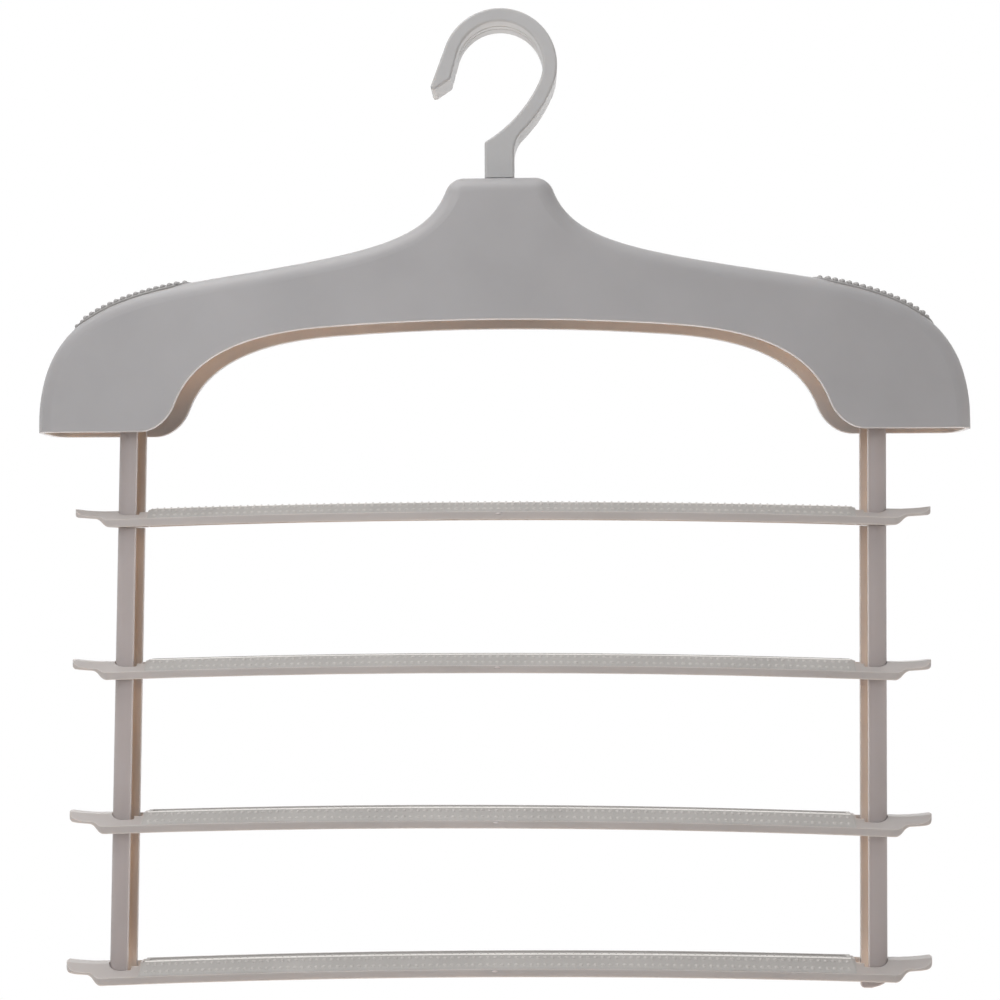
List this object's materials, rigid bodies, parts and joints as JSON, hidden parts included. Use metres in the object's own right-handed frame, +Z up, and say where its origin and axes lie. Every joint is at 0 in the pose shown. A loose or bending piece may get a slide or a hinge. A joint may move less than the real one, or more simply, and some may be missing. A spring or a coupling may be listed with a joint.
{
  "type": "multi-tier pants hanger",
  "caption": "Hollow plastic shoulder hanger with a swivel rail hook and crowned trouser bars hung below on snap-in U-section links, with studded grips.",
  "frame": {"origin": "centre of the closet rail in the hook, on the hanger's middle plane", "axes": "+Z up, +Y along the rail towards the back, +X to the right seen from the front"},
  "size_m": [0.4004, 0.028, 0.4209],
  "materials": {
    "shell_plastic": "satin moulded polypropylene",
    "hook_plastic": "satin moulded polypropylene",
    "bar_plastic": "satin moulded polypropylene",
    "link_plastic": "satin moulded polypropylene",
    "grip_elastomer": "matt moulded elastomer"
  },
  "bodies": {
    "hook": {"swivel_hook": "hook_plastic"},
    "frame": {"shoulder_shell": "shell_plastic", "left_shoulder_pad": "grip_elastomer", "right_shoulder_pad": "grip_elastomer", "left_link_1": "link_plastic", "right_link_1": "link_plastic", "left_link_2": "link_plastic", "right_link_2": "link_plastic", "left_link_3": "link_plastic", "right_link_3": "link_plastic", "left_link_4": "link_plastic", "right_link_4": "link_plastic", "trouser_bar_1": "bar_plastic", "trouser_bar_2": "bar_plastic", "trouser_bar_3": "bar_plastic", "trouser_bar_4": "bar_plastic", "grip_strip_1": "grip_elastomer", "grip_strip_2": "grip_elastomer", "grip_strip_3": "grip_elastomer", "grip_strip_4": "grip_elastomer"}
  },
  "joints": [
    {"name": "hook_swivel", "type": "hinge", "parent": "hook", "child": "frame", "pos_m": [0, 0, -0.057], "axis": [0, 0, 1], "continuous": true}
  ]
}
